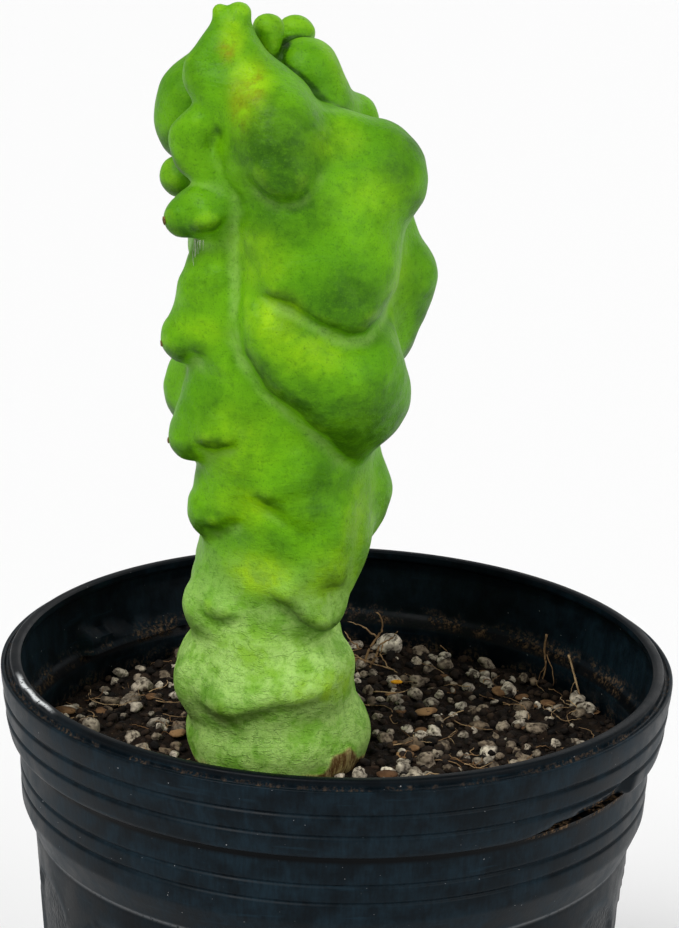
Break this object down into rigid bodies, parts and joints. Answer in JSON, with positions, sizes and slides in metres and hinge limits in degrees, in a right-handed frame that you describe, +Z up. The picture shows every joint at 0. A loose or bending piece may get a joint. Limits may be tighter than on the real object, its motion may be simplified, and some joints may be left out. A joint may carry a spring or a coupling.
{
  "type": "totem pole cactus in a nursery pot",
  "caption": "Lumpy, spineless totem pole cactus standing in gritty potting mix in a round black nursery pot.",
  "frame": {"origin": "middle of the pot's flat base, on the surface it stands on", "axes": "+Z up along the stem, -Y towards the stem's front, +X to its right"},
  "size_m": [0.165, 0.165, 0.3228],
  "materials": {
    "stem_skin": "satin waxy green skin with a pale bloom in its creases",
    "potting_mix": "dark crumbly mix with pale pumice grains",
    "pot_plastic": "dusty matte black plastic"
  },
  "bodies": {
    "root": {"cactus": "stem_skin", "soil": "potting_mix", "pot": "pot_plastic"}
  },
  "joints": []
}
